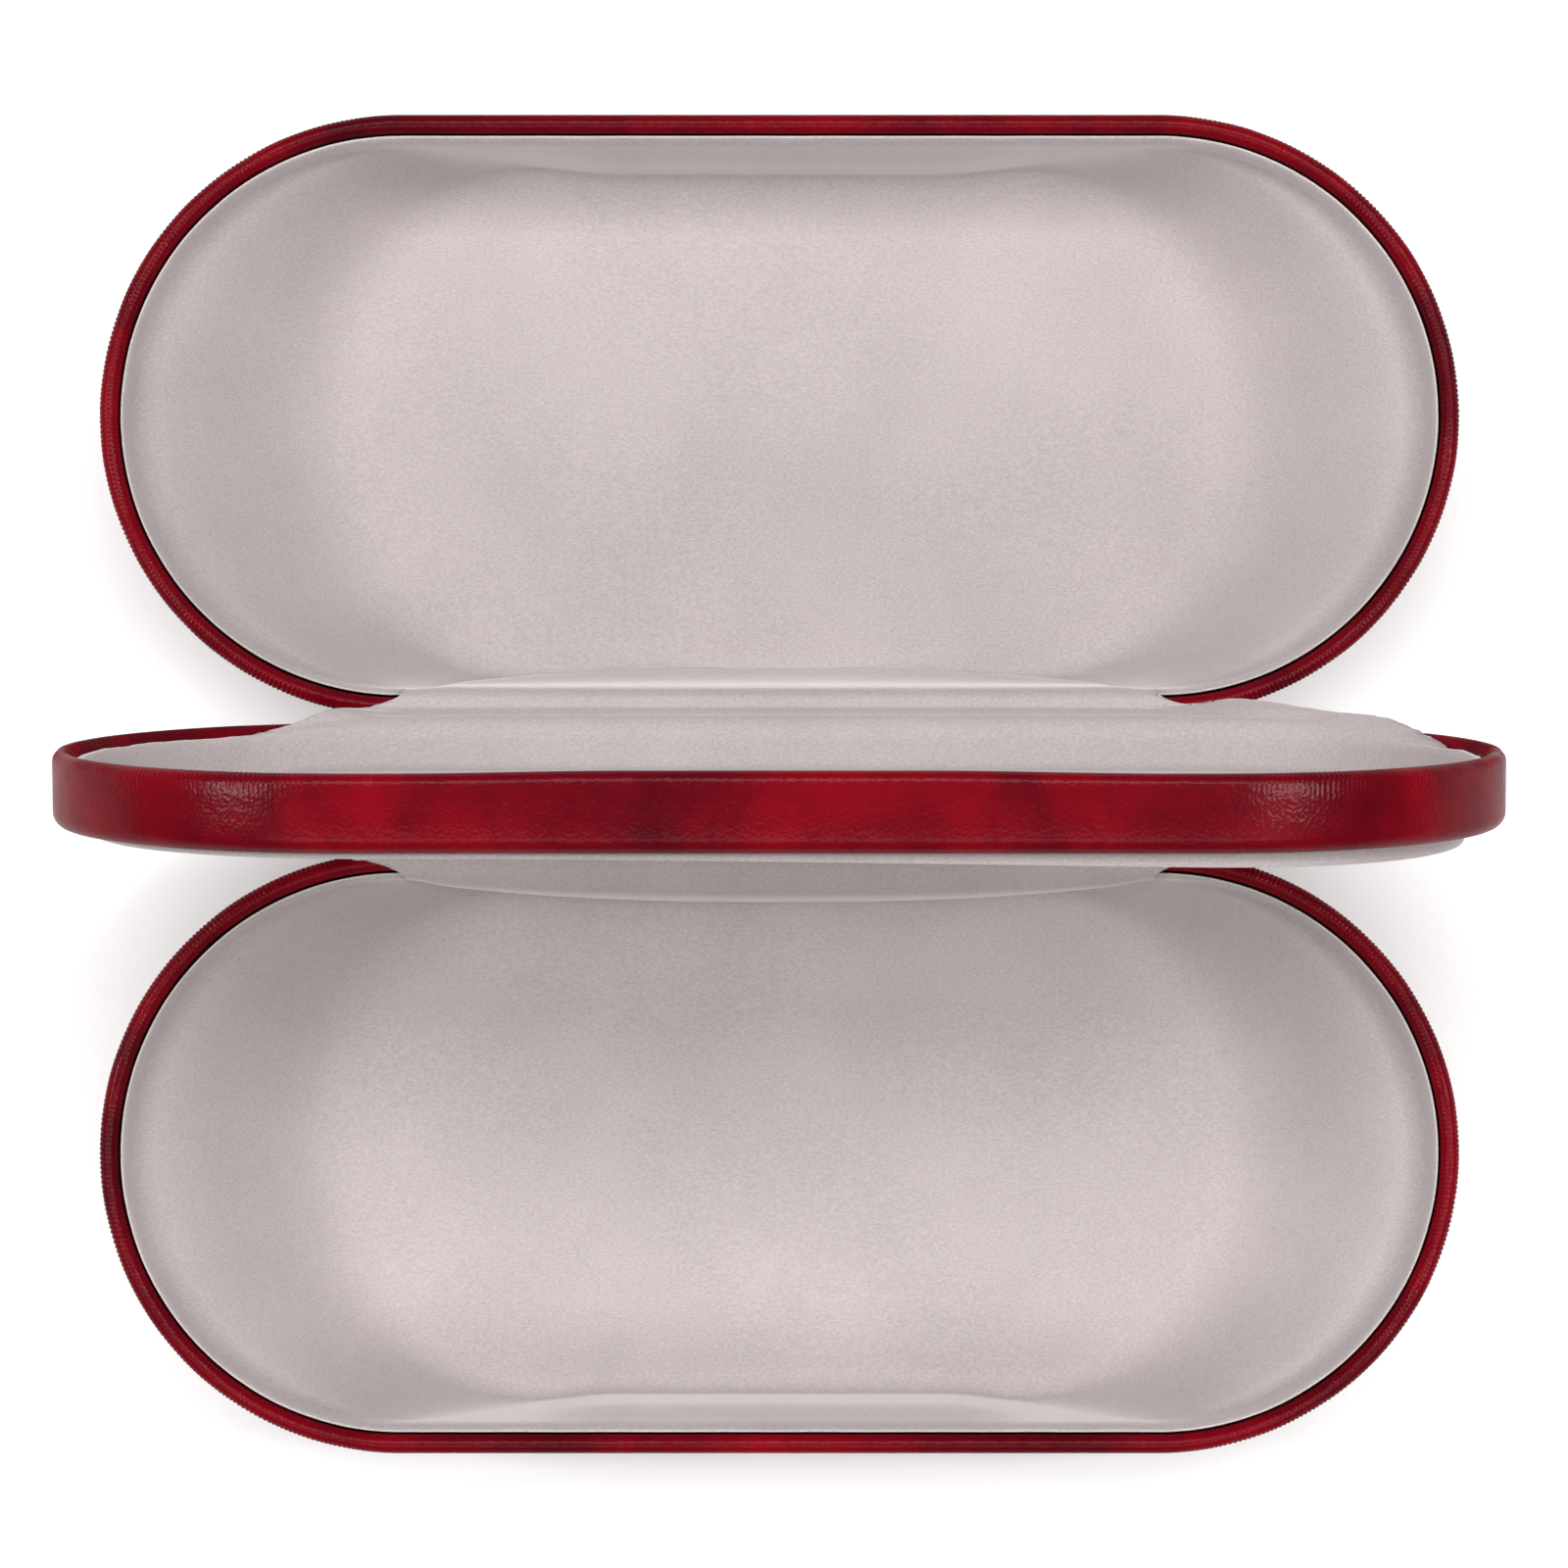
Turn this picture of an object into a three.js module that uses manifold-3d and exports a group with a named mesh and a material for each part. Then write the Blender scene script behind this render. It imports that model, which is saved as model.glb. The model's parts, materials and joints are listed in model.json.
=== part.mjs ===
// Double hard spectacle case, lying open: two deep lids on their backs, and between them a shallow
// tray that stands on its rear edge and leans a little towards the lower lid.
// Frame: millimetres, +X along the case, +Y from the lower lid to the upper lid, +Z up.
// The origin is on the table, midway between the two lids.
// Each lid and the tray is modelled lying flat with its rear edge at +Y, and hinged groups open them.
import * as THREE from "three";
import { mergeVertices } from "three/addons/utils/BufferGeometryUtils.js";
import Module from "manifold-3d";

const wasm = await Module();
wasm.setup();

// ---- Driving dimensions ----
const LENGTH = 165;
const WIDTH = 73;
const LID_DEPTH = 27;
const TRAY_DEPTH = 8.8;
const LIDS_APART = 16.4; // between the rear edges of the open lids
const TRAY_LEAN = THREE.MathUtils.degToRad(5);
const TRAY_RISE = 2; // the tray's lower rear corner above the lids' rims
const TRAY_TO_UPPER_LID = 0.7; // along Y, from the tray's upper rear corner to the lid's rear edge
const RIM_GAP = 0.4; // between the rims when the case is shut
const GAP = 0.3; // between neighbouring layers

// ---- Layers, from outside to inside ----
const LEATHER = 0.8;
const STEEL = 0.5;
const FLAP = 0.7; // leather turned in over the steel rim
const LINING = 0.7;
const SHELL_AT = LEATHER + GAP;
const FLAP_AT = SHELL_AT + STEEL + GAP;
const LINING_AT = FLAP_AT + FLAP + GAP;
const FLAP_DROP = 3; // how far the turned-in leather reaches below the rim
const PAD = { inset: 0.6, thickness: 0.7 }; // the foam under a lid's lining
const RIM_ROLL = 0.6; // rounding of the rolled rim
const LINING_BELOW_RIM = 0.7;

// ---- Rounding of the shells ----
const LID_ROUND = { side: 9, endAlong: 24, endUp: 22, endRamp: 0, draft: 0.8 };
const LID_LINING_ROUND = { ...LID_ROUND, endRamp: 0.8 }; // the end slope is mostly straight
const TRAY_ROUND = { side: 2, endAlong: 2, endUp: 2, endRamp: 0, draft: 0 };
const AROUND = 32; // facets around a shell
const ROUND_STEPS = 4; // facets from wall to floor
const PLATE_EDGE = 0.2; // rounding of a flat plate's edge
const SMALLEST_ROUND = 0.4; // least rounding between an inner wall and its floor

// ---- Hinges ----
const PIN_RADIUS = 0.42;
const BORE_RADIUS = 0.62;
const BARREL_RADIUS = 0.95;
const PIN_HALF_LENGTH = 41;
const WINDOW_HALF = 46.4; // half the width of the cut-out for the hinge in each rear wall
const LID_WINDOW_DROP = 4.5;
const LID_LINING_WINDOW_DROP = 12;
const TRAY_WINDOW_DROP = 3.1;
const TRAY_LINING_WINDOW = 12; // how far the tray's lining stays back from the rear edge
const LID_TABS = [[-40, -31], [-20, -11], [11, 20], [31, 40]];
const TRAY_TABS = [[-30.5, -20.5], [20.5, 30.5]];
const LEAF = 0.5; // sheet thickness
const LID_LEAF_AT = 2.25;
const TRAY_LEAF_AT = SHELL_AT + STEEL + GAP;
const LID_FLANGE = { half: 40, bottom: 15.5, top: 21.5 };
const TRAY_FLANGE_HALF = 32;
const FLOOR_FLANGE = { fromRear: [1.2, 10], up: 0.3 }; // the lower hinge's leaf in the tray
const WALL_FLANGE = [2.2, 6.9]; // heights of the upper hinge's leaf in the tray
const TAB_TO_PIN = 0.7; // a tab meets its barrel this far below the pin
const RIVET = { shank: 0.9, hole: 1.2, head: 1.9, headHeight: 0.45, crown: 0.8 };
const LID_RIVETS = { x: 25.5, z: 17.5, sunk: 0.2 };
const TRAY_RIVETS = { x: 12, fromRear: 8, up: 4.4, sunk: 0.05 };
const HOLE_LENGTH = 4; // of the drill that makes a rivet's hole
const SPRING = { thickness: 0.3, halfWidth: 6, ring: 0.85, foot: 15.6, knee: 21 };
const HOOK_TURN = 1.3 * Math.PI; // how far the spring hooks round the pin
const CLOTH = 0.6; // aprons and spine straps
const APRON_HALF = 45.9;
const STRAP_HALF = 44;

// ---- Tray's underside ----
const TRAY_UNDERFOLD = 4.2; // leather turned under the tray
const BOARD = { inset: 4.6, bottom: 0.05, top: 0.75, pastRivets: 2.5 };
const BACK_LINING = { inset: 5.2, bottom: -1, top: -0.3 };

// ---- Making of solids ----
const WELD = 1e-4; // points closer than this are one
const PAST = 1; // how far a cutting tool stands past what it cuts
const ROD_SIDES = 12;
const RIVET_SIDES = 10;
const HOOK_STEPS = 8;
const RIBBON_STEPS = { strap: 24, longApron: 30, spring: 36 };

// ---- Derived places ----
const REAR = WIDTH / 2;
const LID_CENTRE = LIDS_APART / 2 + REAR;
const LOWER_OPENING = Math.PI / 2 - TRAY_LEAN;
const UPPER_OPENING = Math.PI / 2 + TRAY_LEAN;

// The open tray's lower rear corner, [y, z].
const TRAY_CORNER = [
  LIDS_APART / 2 - TRAY_TO_UPPER_LID - TRAY_DEPTH * Math.cos(TRAY_LEAN),
  LID_DEPTH + TRAY_RISE,
];

// A point of the open tray, [y, z]: up from its rear edge, and through its depth from its underside.
function trayPoint(up, through) {
  const sin = Math.sin(TRAY_LEAN);
  const cos = Math.cos(TRAY_LEAN);
  return [
    TRAY_CORNER[0] + through * cos - up * sin,
    TRAY_CORNER[1] + through * sin + up * cos,
  ];
}

// The pin about which a corner turns from its place in the shut case to its place in the open one.
function pinOf(shut, open, angle) {
  const dy = open[0] - shut[0];
  const dz = open[1] - shut[1];
  const reach = 0.5 / Math.tan(angle / 2);
  return [(shut[0] + open[0]) / 2 + dz * reach, (shut[1] + open[1]) / 2 - dy * reach];
}

// The lower pin in the lower lid's own frame.
const LOWER_PIN = pinOf(
  [REAR, LID_DEPTH + RIM_GAP],
  [TRAY_CORNER[0] + LID_CENTRE, TRAY_CORNER[1]],
  LOWER_OPENING,
);

// The upper pin in the tray's own frame, where the lid's open rear rim is turned back by the lean.
function openLidCornerInTray() {
  const dy = LIDS_APART / 2 - TRAY_CORNER[0];
  const dz = LID_DEPTH - TRAY_CORNER[1];
  const up = dz * Math.cos(TRAY_LEAN) - dy * Math.sin(TRAY_LEAN);
  const through = dy * Math.cos(TRAY_LEAN) + dz * Math.sin(TRAY_LEAN);
  return [REAR - up, through];
}
const UPPER_PIN = pinOf([REAR, TRAY_DEPTH + RIM_GAP], openLidCornerInTray(), UPPER_OPENING);

// The same two pins in the frames of the tray and of the upper lid.
const LOWER_PIN_IN_TRAY = [LOWER_PIN[0], LOWER_PIN[1] - LID_DEPTH - RIM_GAP];
const UPPER_PIN_IN_LID = [UPPER_PIN[0], LID_DEPTH + TRAY_DEPTH + RIM_GAP - UPPER_PIN[1]];

// ---- Materials ----
const material = (color, roughness, metalness = 0) =>
  new THREE.MeshStandardMaterial({ color, roughness, metalness });
const leatherette = () => material(0x9c0a1c, 0.4);
const steel = () => material(0xb4b6ba, 0.35, 0.9);
const flockCloth = () => material(0xc6bebb, 0.95);
const board = () => material(0xb59b78, 0.9);
const foam = () => material(0x8d8b88, 0.95);

// ---- Solids ----
function toSolid(geometry) {
  const bare = geometry.clone();
  bare.deleteAttribute("normal");
  bare.deleteAttribute("uv");
  const merged = mergeVertices(bare, WELD);
  return new wasm.Manifold(
    new wasm.Mesh({
      numProp: 3,
      vertProperties: merged.attributes.position.array,
      triVerts: new Uint32Array(merged.index.array),
    }),
  );
}

function toGeometry(solid) {
  const mesh = solid.getMesh();
  return new THREE.BufferGeometry()
    .setAttribute("position", new THREE.BufferAttribute(mesh.vertProperties, 3))
    .setIndex(new THREE.BufferAttribute(mesh.triVerts, 1));
}

function join(geometries) {
  return toGeometry(geometries.map(toSolid).reduce((a, b) => a.add(b)));
}

function cut(geometry, tools) {
  return toGeometry(tools.map(toSolid).reduce((a, b) => a.subtract(b), toSolid(geometry)));
}

function part(name, geometry, finish) {
  const mesh = new THREE.Mesh(geometry, finish);
  mesh.name = name;
  return mesh;
}

function slab(x, y, z) {
  return new THREE.BoxGeometry(x[1] - x[0], y[1] - y[0], z[1] - z[0]).translate(
    (x[0] + x[1]) / 2,
    (y[0] + y[1]) / 2,
    (z[0] + z[1]) / 2,
  );
}

// A rod along X about a [y, z] point.
function rod(radius, x, [y, z]) {
  return new THREE.CylinderGeometry(radius, radius, x[1] - x[0], ROD_SIDES)
    .rotateZ(Math.PI / 2)
    .translate((x[0] + x[1]) / 2, y, z);
}

// A strip of sheet from one [y, z] point to another.
function plank(from, to, thickness, x) {
  const dy = to[0] - from[0];
  const dz = to[1] - from[1];
  return new THREE.BoxGeometry(x[1] - x[0], Math.hypot(dy, dz) + thickness, thickness)
    .rotateX(Math.atan2(dz, dy))
    .translate((x[0] + x[1]) / 2, (from[0] + to[0]) / 2, (from[1] + to[1]) / 2);
}

// A sheet that follows a smooth curve through [y, z] points, and runs from x[0] to x[1].
function ribbon(points, thickness, x, steps = RIBBON_STEPS.strap) {
  const curve = new THREE.SplineCurve(points.map(([y, z]) => new THREE.Vector2(y, z)));
  const left = [];
  const right = [];
  for (let i = 0; i <= steps; i += 1) {
    const at = curve.getPoint(i / steps);
    const along = curve.getTangent(i / steps);
    const side = new THREE.Vector2(-along.y, along.x).multiplyScalar(thickness / 2);
    left.push(at.clone().add(side));
    right.unshift(at.clone().sub(side));
  }
  const outline = new THREE.Shape([...left, ...right]);
  return new THREE.ExtrudeGeometry(outline, { depth: x[1] - x[0], bevelEnabled: false, steps: 1 })
    .applyMatrix4(new THREE.Matrix4().set(0, 0, 1, x[0], 1, 0, 0, 0, 0, 1, 0, 0, 0, 0, 0, 1));
}

// A solid with the case's long round-ended plan. Each level of the profile gives its height and how
// far it stands in from the plan's ends and sides: a lathe turns it, and its halves are drawn apart.
function planSolid(levels) {
  const radii = levels.map((level) => (REAR - level.side) / Math.cos(Math.PI / AROUND));
  const pull = levels.map((level) => LENGTH / 2 - REAR + level.side - level.end);
  const points = [
    new THREE.Vector2(0, levels[0].z),
    ...levels.map((level, i) => new THREE.Vector2(radii[i], level.z)),
    new THREE.Vector2(0, levels[levels.length - 1].z),
  ];
  const lathe = new THREE.LatheGeometry(points, AROUND, Math.PI / AROUND);
  const place = lathe.attributes.position;
  for (let i = 0; i < place.count; i += 1) {
    const level = (i % points.length) - 1;
    const onAxis = level < 0 || level >= levels.length;
    if (!onAxis) place.setX(i, place.getX(i) + Math.sign(place.getX(i)) * pull[level]);
  }
  return lathe.rotateX(Math.PI / 2);
}

// How far the wall of a cup stands in at a height, for the surface at a depth inside its outer face.
// Its slope is round, or straight by the share that ramp gives.
function wallInset(z, inside, along, up, ramp, draft, depth) {
  const above = z - inside;
  const reach = Math.max(up - inside, 0.01);
  const rounding = Math.max(along - inside, 0.01);
  const drafted = inside + (draft * (depth - z)) / depth;
  if (above >= reach) return drafted;
  const left = (reach - above) / reach;
  const round = 1 - Math.sqrt(1 - left ** 2);
  return drafted + rounding * ((1 - ramp) * round + ramp * left);
}

function levelAt(z, inside, round, depth) {
  return {
    z,
    end: wallInset(z, inside, round.endAlong, round.endUp, round.endRamp, round.draft, depth),
    side: wallInset(z, inside, round.side, round.side, 0, round.draft, depth),
  };
}

// The levels of one surface of a cup, from its floor up to where the wall is straight.
function roundedLevels(inside, round, depth) {
  const reach = Math.max(round.endUp - inside, SMALLEST_ROUND);
  return Array.from({ length: ROUND_STEPS + 1 }, (_, i) => {
    const angle = (Math.PI / 2) * (1 - i / ROUND_STEPS);
    return levelAt(inside + reach * (1 - Math.sin(angle)), inside, round, depth);
  });
}

// A plain cup between two surfaces, with its rim at a height.
function cup(outer, inner, top, round, depth) {
  return planSolid([
    ...roundedLevels(outer, round, depth),
    levelAt(top, outer, round, depth),
    levelAt(top, inner, round, depth),
    ...roundedLevels(inner, round, depth).reverse(),
  ]);
}

// The levels of the leather rolled over the rim and turned down inside the steel.
function rolledRim(round, depth) {
  const inner = FLAP_AT + FLAP;
  const roof = depth - LEATHER;
  const at = (z, inside) => levelAt(z, inside, round, depth);
  return [
    at(depth - RIM_ROLL, 0),
    at(depth, RIM_ROLL),
    at(depth, inner - RIM_ROLL),
    at(depth - RIM_ROLL, inner),
    at(depth - FLAP_DROP, inner),
    at(depth - FLAP_DROP, FLAP_AT),
    at(roof, FLAP_AT),
    at(roof, LEATHER),
  ];
}

// A flat plate with the case's plan, set in from the edge, with its edges rounded.
function planPlate(inset, bottom, top, rounding = PLATE_EDGE) {
  const level = (z, extra) => ({ z, end: inset + extra, side: inset + extra });
  return planSolid([
    level(bottom, rounding),
    level(bottom + rounding, 0),
    level(top - rounding, 0),
    level(top, rounding),
  ]);
}

// The cut-out for a hinge, through the rear wall to a depth inside its outer face.
const rearWindow = (inside, bottom, top) =>
  slab([-WINDOW_HALF, WINDOW_HALF], [REAR - inside, REAR + PAST], [bottom, top]);

// ---- Hinge pieces ----
// A leaf: a flat flange, tabs that leave it along a [y, z] path, and a barrel on each tab.
function hingeLeaf(flange, tabs, path, pin, holes) {
  const pieces = [flange];
  for (const tab of tabs) {
    path.slice(1).forEach((point, i) => pieces.push(plank(path[i], point, LEAF, tab)));
    pieces.push(rod(BARREL_RADIUS, tab, pin));
  }
  const bore = rod(BORE_RADIUS, [-PIN_HALF_LENGTH - PAST, PIN_HALF_LENGTH + PAST], pin);
  return cut(join(pieces), [bore, ...holes]);
}

const hingePin = (pin) => rod(PIN_RADIUS, [-PIN_HALF_LENGTH, PIN_HALF_LENGTH], pin);

// A rivet standing on its shank, with its head up.
function rivet(shankLength) {
  const profile = [
    [0, 0],
    [RIVET.shank, 0],
    [RIVET.shank, shankLength],
    [RIVET.head, shankLength],
    [RIVET.head * RIVET.crown, shankLength + RIVET.headHeight],
    [0, shankLength + RIVET.headHeight],
  ];
  return new THREE.LatheGeometry(profile.map(([r, h]) => new THREE.Vector2(r, h)), RIVET_SIDES);
}

// The drill for a rivet, lying along Y.
const rivetHole = () => new THREE.CylinderGeometry(RIVET.hole, RIVET.hole, HOLE_LENGTH, ROD_SIDES);

// A flat snap spring: it lies along the lid's leaf and hooks round the pin.
function snapSpring(pin) {
  const rest = REAR - LID_LEAF_AT - LEAF - GAP - SPRING.thickness / 2;
  const hook = Array.from({ length: HOOK_STEPS + 1 }, (_, i) => {
    const angle = -Math.PI / 2 + (i / HOOK_STEPS) * HOOK_TURN;
    return [pin[0] + SPRING.ring * Math.cos(angle), pin[1] + SPRING.ring * Math.sin(angle)];
  });
  const path = [
    [rest, SPRING.foot],
    [rest, SPRING.knee],
    [rest + 1, SPRING.knee + 2.2],
    [pin[0] - 2.6, pin[1] - 1.2],
    ...hook,
  ];
  return ribbon(path, SPRING.thickness, [-SPRING.halfWidth, SPRING.halfWidth], RIBBON_STEPS.spring);
}

// ---- Lids ----
function lidCover() {
  const body = planSolid([
    ...roundedLevels(0, LID_ROUND, LID_DEPTH),
    ...rolledRim(LID_ROUND, LID_DEPTH),
    ...roundedLevels(LEATHER, LID_ROUND, LID_DEPTH).reverse(),
  ]);
  const bottom = LID_DEPTH - LID_WINDOW_DROP;
  return cut(body, [rearWindow(FLAP_AT + FLAP + GAP, bottom, LID_DEPTH + PAST)]);
}

function lidRivetHoles() {
  return [-LID_RIVETS.x, LID_RIVETS.x].map((x) =>
    rivetHole().translate(x, REAR - SHELL_AT - PAST, LID_RIVETS.z),
  );
}

function lidShell() {
  const top = LID_DEPTH - LEATHER - GAP;
  const body = cup(SHELL_AT, SHELL_AT + STEEL, top, LID_ROUND, LID_DEPTH);
  const window = rearWindow(SHELL_AT + STEEL + PAST, LID_DEPTH - LID_WINDOW_DROP, LID_DEPTH);
  return cut(body, [window, ...lidRivetHoles()]);
}

function lidPad() {
  const inside = SHELL_AT + STEEL + GAP;
  const floor = levelAt(inside, inside, LID_ROUND, LID_DEPTH);
  const edge = { end: floor.end + PAD.inset, side: floor.side + PAD.inset };
  return planSolid([
    { ...edge, z: inside },
    { ...edge, z: inside + PAD.thickness },
  ]);
}

function lidLining() {
  const top = LID_DEPTH - LINING_BELOW_RIM;
  const body = cup(LINING_AT, LINING_AT + LINING, top, LID_LINING_ROUND, LID_DEPTH);
  const bottom = LID_DEPTH - LID_LINING_WINDOW_DROP;
  return cut(body, [rearWindow(LINING_AT + LINING + 2 * PAST, bottom, LID_DEPTH)]);
}

function lidLeaf(pin, path) {
  const flange = slab(
    [-LID_FLANGE.half, LID_FLANGE.half],
    [REAR - LID_LEAF_AT - LEAF, REAR - LID_LEAF_AT],
    [LID_FLANGE.bottom, LID_FLANGE.top],
  );
  return hingeLeaf(flange, LID_TABS, path, pin, lidRivetHoles());
}

function lidRivet(x) {
  const start = SHELL_AT + LID_RIVETS.sunk;
  const shankLength = LID_LEAF_AT + LEAF + GAP - start;
  return rivet(shankLength).rotateX(Math.PI).translate(x, REAR - start, LID_RIVETS.z);
}

function lid(side, pin, tabPath) {
  const group = new THREE.Group();
  group.add(
    part(`${side}_lid_cover`, lidCover(), leatherette()),
    part(`${side}_lid_shell`, lidShell(), steel()),
    part(`${side}_lid_pad`, lidPad(), foam()),
    part(`${side}_lid_lining`, lidLining(), flockCloth()),
    part(`${side}_hinge_lid_leaf`, lidLeaf(pin, tabPath), steel()),
    part(`${side}_hinge_pin`, hingePin(pin), steel()),
    part(`${side}_hinge_spring`, snapSpring(pin), steel()),
    part(`${side}_lid_rivet_left`, lidRivet(-LID_RIVETS.x), steel()),
    part(`${side}_lid_rivet_right`, lidRivet(LID_RIVETS.x), steel()),
  );
  return group;
}

// ---- Tray ----
const trayTop = TRAY_DEPTH - LEATHER - GAP;

function trayCover() {
  const turnedUnder = { z: 0, end: TRAY_UNDERFOLD, side: TRAY_UNDERFOLD };
  const ring = [
    ...roundedLevels(0, TRAY_ROUND, TRAY_DEPTH),
    ...rolledRim(TRAY_ROUND, TRAY_DEPTH),
    ...roundedLevels(LEATHER, TRAY_ROUND, TRAY_DEPTH).reverse(),
    { ...turnedUnder, z: LEATHER },
    turnedUnder,
  ];
  const floorHole = planPlate(TRAY_UNDERFOLD, -PAST, LEATHER + 0.1, 0);
  const band = cut(planSolid(ring), [floorHole]);
  return cut(band, [
    rearWindow(FLAP_AT + FLAP + GAP, TRAY_DEPTH - TRAY_WINDOW_DROP, TRAY_DEPTH + PAST),
    rearWindow(TRAY_UNDERFOLD + PAST, -PAST, LEATHER + 0.25),
  ]);
}

function trayFloorHoles() {
  return [-TRAY_RIVETS.x, TRAY_RIVETS.x].map((x) =>
    rivetHole().rotateX(Math.PI / 2).translate(x, REAR - TRAY_RIVETS.fromRear, 1),
  );
}

function trayWallHoles() {
  return [-TRAY_RIVETS.x, TRAY_RIVETS.x].map((x) =>
    rivetHole().translate(x, REAR - SHELL_AT - PAST, TRAY_RIVETS.up),
  );
}

function trayShell() {
  const body = cup(SHELL_AT, SHELL_AT + STEEL, trayTop, TRAY_ROUND, TRAY_DEPTH);
  const window = rearWindow(SHELL_AT + STEEL + PAST, TRAY_DEPTH - TRAY_WINDOW_DROP, TRAY_DEPTH);
  return cut(body, [window, ...trayFloorHoles(), ...trayWallHoles()]);
}

function trayLining() {
  const floor = SHELL_AT + STEEL + GAP;
  const top = TRAY_DEPTH - LINING_BELOW_RIM;
  const wall = (z, inside) => ({ z, end: inside, side: inside });
  const body = planSolid([
    wall(floor, LINING_AT),
    wall(top, LINING_AT),
    wall(top, LINING_AT + LINING),
    wall(floor + LINING, LINING_AT + LINING),
  ]);
  return cut(body, [rearWindow(TRAY_LINING_WINDOW, 0, TRAY_DEPTH)]);
}

function trayBackBoard() {
  const notch = rearWindow(TRAY_RIVETS.fromRear + BOARD.pastRivets, -PAST, BOARD.top + PAST);
  return cut(planPlate(BOARD.inset, BOARD.bottom, BOARD.top), [notch]);
}

const trayBackLining = () => planPlate(BACK_LINING.inset, BACK_LINING.bottom, BACK_LINING.top);

function lowerTrayLeaf() {
  const [near, far] = FLOOR_FLANGE.fromRear;
  const flange = slab(
    [-TRAY_FLANGE_HALF, TRAY_FLANGE_HALF],
    [REAR - far, REAR - near],
    [FLOOR_FLANGE.up, FLOOR_FLANGE.up + LEAF],
  );
  const middle = FLOOR_FLANGE.up + LEAF / 2;
  const [y, z] = LOWER_PIN_IN_TRAY;
  const path = [[REAR - near - GAP, middle], [REAR + 0.8, middle], [y + 0.4, z + 0.55]];
  return hingeLeaf(flange, TRAY_TABS, path, [y, z], trayFloorHoles());
}

function upperTrayLeaf() {
  const inner = REAR - TRAY_LEAF_AT - LEAF;
  const flange = slab([-TRAY_FLANGE_HALF, TRAY_FLANGE_HALF], [inner, REAR - TRAY_LEAF_AT], WALL_FLANGE);
  const [y, z] = UPPER_PIN;
  const start = [inner + LEAF / 2, WALL_FLANGE[1] - LEAF / 2];
  const path = [start, [REAR + 0.6, WALL_FLANGE[1] - 0.1], [y + 0.1, z - TAB_TO_PIN]];
  return hingeLeaf(flange, TRAY_TABS, path, [y, z], trayWallHoles());
}

function trayFloorRivet(x) {
  const bottom = FLOOR_FLANGE.up + TRAY_RIVETS.sunk;
  return rivet(SHELL_AT + STEEL + GAP - bottom)
    .rotateX(Math.PI / 2)
    .translate(x, REAR - TRAY_RIVETS.fromRear, bottom);
}

function trayWallRivet(x) {
  const start = SHELL_AT + TRAY_RIVETS.sunk;
  const shankLength = TRAY_LEAF_AT + LEAF + GAP - start;
  return rivet(shankLength).rotateX(Math.PI).translate(x, REAR - start, TRAY_RIVETS.up);
}

function tray() {
  const group = new THREE.Group();
  group.add(
    part("tray_cover", trayCover(), leatherette()),
    part("tray_shell", trayShell(), steel()),
    part("tray_lining", trayLining(), flockCloth()),
    part("tray_back_board", trayBackBoard(), board()),
    part("tray_back_lining", trayBackLining(), flockCloth()),
    part("lower_hinge_tray_leaf", lowerTrayLeaf(), steel()),
    part("upper_hinge_tray_leaf", upperTrayLeaf(), steel()),
    part("tray_floor_rivet_left", trayFloorRivet(-TRAY_RIVETS.x), steel()),
    part("tray_floor_rivet_right", trayFloorRivet(TRAY_RIVETS.x), steel()),
    part("tray_wall_rivet_left", trayWallRivet(-TRAY_RIVETS.x), steel()),
    part("tray_wall_rivet_right", trayWallRivet(TRAY_RIVETS.x), steel()),
  );
  return group;
}

// ---- Cloth and leather that bridge the hinges, in the open case's frame ----
// Each is a strip along X whose section is a smooth curve through a few [y, z] guide points:
// up a lid's rear wall, over its rim past the pin, and onto the tray.
function liningAprons() {
  const x = [-APRON_HALF, APRON_HALF];
  const inLid = LIDS_APART / 2 + 4.8;
  const lower = [
    [-inLid, 15.3],
    [-inLid, 21.5],
    [-inLid + 1.4, 25.2],
    [-8.2, 26.7],
    [-5.4, 27],
    trayPoint(-0.6, -2.2),
    trayPoint(1.2, -0.75),
    trayPoint(4.6, -0.65),
  ];
  const upper = [
    [inLid, 15.3],
    [inLid, 22.5],
    [inLid - 1.4, 26.6],
    [9.2, 29.1],
    trayPoint(1.3, 8.6),
    trayPoint(3.3, 7.2),
    trayPoint(4, 4.6),
    trayPoint(5.6, 3.25),
    trayPoint(9, 3.2),
    trayPoint(15, 3.2),
  ];
  return [
    part("lower_lining_apron", ribbon(lower, CLOTH, x), flockCloth()),
    part("upper_lining_apron", ribbon(upper, CLOTH, x, RIBBON_STEPS.longApron), flockCloth()),
  ];
}

function spineStraps() {
  const x = [-STRAP_HALF, STRAP_HALF];
  const onLid = LIDS_APART / 2 - GAP - CLOTH / 2;
  const lower = [
    [-onLid, 13],
    [-onLid, 20],
    [-6.3, 22],
    [-3.9, 22.6],
    [-1.8, 23.7],
    [-0.6, 26],
    [0.2, 27.9],
    trayPoint(-0.65, 2.6),
    trayPoint(-0.65, 4.2),
  ];
  const upper = [
    trayPoint(-0.65, 4.8),
    trayPoint(-0.75, 5.6),
    [5.1, 27.3],
    [6.2, 26.3],
    [7.2, 24.9],
    [onLid, 23],
    [onLid, 13],
  ];
  return [
    part("lower_spine_strap", ribbon(lower, CLOTH, x), leatherette()),
    part("upper_spine_strap", ribbon(upper, CLOTH, x), leatherette()),
  ];
}

// ---- Assembly ----
// Where a lid's hinge tabs leave its flange, [y, z].
const LID_TAB_START = [REAR - LID_LEAF_AT - LEAF / 2, LID_FLANGE.top - GAP];

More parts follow.
